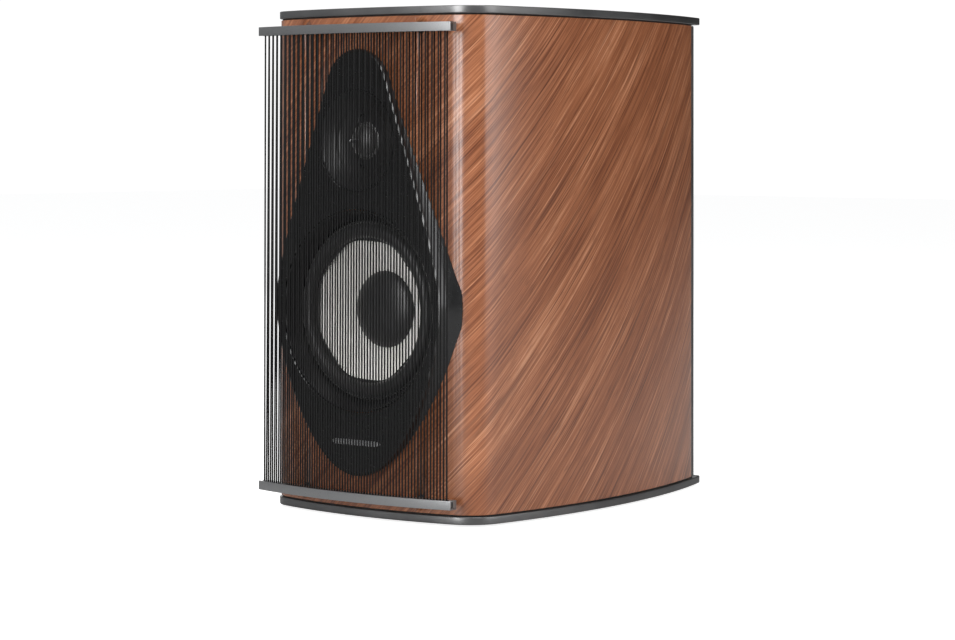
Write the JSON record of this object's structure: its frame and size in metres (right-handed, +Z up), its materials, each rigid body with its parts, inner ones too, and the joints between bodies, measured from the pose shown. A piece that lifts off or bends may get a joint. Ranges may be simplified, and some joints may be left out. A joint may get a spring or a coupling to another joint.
{
  "type": "bookshelf speaker",
  "caption": "Two-way bookshelf speaker with a lute-shaped veneered cabinet between metal plates, a raised teardrop fascia and a laced cord grille.",
  "frame": {"origin": "on the surface the speaker stands on, under the middle of its bounding box", "axes": "+Z up, +Y towards the rear panel, so the drivers face -Y; +X to the right of someone who looks at the drivers along +Y"},
  "size_m": [0.2304, 0.3824, 0.395],
  "materials": {
    "walnut": "satin lacquered walnut veneer over bent plywood",
    "graphite": "machined aluminium, graphite anodised, satin",
    "steel": "plain satin steel",
    "black_metal": "satin black lacquer on metal",
    "black_plastic": "matt black moulding",
    "rubber": "matt black rubber",
    "cord": "black elastic cord with a braided skin",
    "paper": "pale air-dried paper pulp, coated",
    "silk": "coated black silk",
    "ferrite": "dark grey ferrite",
    "copper": "enamelled copper wire",
    "gold": "gold-plated brass",
    "felt": "grey wool felt",
    "board": "green glass-fibre circuit board",
    "film": "amber film and resin-treated cloth"
  },
  "bodies": {
    "cabinet": {"top_plate": "graphite", "bottom_plate": "graphite", "rear_panel": "graphite", "port_flare": "graphite", "top_gasket": "rubber", "bottom_gasket": "rubber", "pad_front_left": "rubber", "pad_front_right": "rubber", "pad_rear_left": "rubber", "pad_rear_right": "rubber", "woofer_gasket": "rubber", "woofer_surround": "rubber", "cabinet_shell": "walnut", "shelf_brace": "walnut", "grille_socket_top_left": "black_plastic", "grille_socket_top_right": "black_plastic", "grille_socket_bottom_left": "black_plastic", "grille_socket_bottom_right": "black_plastic", "port_tube": "black_plastic", "terminal_plate": "black_plastic", "tweeter_chamber": "black_plastic", "felt_lining_left": "felt", "felt_lining_right": "felt", "panel_screw_top_left": "steel", "panel_screw_top_right": "steel", "panel_screw_bottom_left": "steel", "panel_screw_bottom_right": "steel", "badge": "steel", "woofer_front_plate": "steel", "woofer_pole_plate": "steel", "tweeter_bridge": "steel", "binding_post_left": "gold", "binding_post_right": "gold", "fascia": "black_metal", "woofer_basket": "black_metal", "woofer_trim": "black_metal", "tweeter_waveguide": "black_metal", "crossover_resistor": "paper", "woofer_inductor": "copper", "tweeter_inductor": "copper", "spider": "film", "woofer_capacitor": "film", "tweeter_capacitor": "film", "woofer_magnet": "ferrite", "tweeter_motor": "ferrite", "crossover_board": "board"},
    "woofer_cone": {"woofer_cone": "paper", "dust_cap": "black_plastic", "woofer_voice_coil": "copper"},
    "tweeter_dome": {"tweeter_dome": "silk"},
    "grille": {"grille_top_face": "graphite", "grille_top_rail": "graphite", "grille_bottom_face": "graphite", "grille_bottom_rail": "graphite", "grille_cord": "cord"},
    "left_clamp": {"post_washer_left": "gold"},
    "left_nut": {"binding_nut_left": "gold"},
    "right_clamp": {"post_washer_right": "gold"},
    "right_nut": {"binding_nut_right": "gold"}
  },
  "joints": [
    {"name": "woofer_cone_slide", "type": "slide", "parent": "cabinet", "child": "woofer_cone", "axis": [0, -1, 0], "range_m": [-0.005, 0.005], "stiffness_N_per_m": 1200, "deforming": ["woofer_surround", "spider"]},
    {"name": "tweeter_dome_slide", "type": "slide", "parent": "cabinet", "child": "tweeter_dome", "axis": [0, -1, 0], "range_m": [-0.0003, 0.0003], "stiffness_N_per_m": 2000},
    {"name": "grille_pull", "type": "slide", "parent": "cabinet", "child": "grille", "axis": [0, -1, 0], "range_m": [0, 0.06]},
    {"name": "left_clamp_slide", "type": "slide", "parent": "cabinet", "child": "left_clamp", "axis": [0, 1, 0], "range_m": [0, 0.005]},
    {"name": "left_nut_turn", "type": "hinge", "parent": "left_clamp", "child": "left_nut", "pos_m": [-0.019, 0.1792, 0.08], "axis": [0, 1, 0], "range_deg": [0, 1800]},
    {"name": "right_clamp_slide", "type": "slide", "parent": "cabinet", "child": "right_clamp", "axis": [0, 1, 0], "range_m": [0, 0.005]},
    {"name": "right_nut_turn", "type": "hinge", "parent": "right_clamp", "child": "right_nut", "pos_m": [0.019, 0.1792, 0.08], "axis": [0, 1, 0], "range_deg": [0, 1800]}
  ],
  "couplings": [
    {"joint": "left_nut_turn", "follows": "left_clamp_slide", "rad_per_m": 6283.2},
    {"joint": "right_nut_turn", "follows": "right_clamp_slide", "rad_per_m": 6283.2}
  ]
}
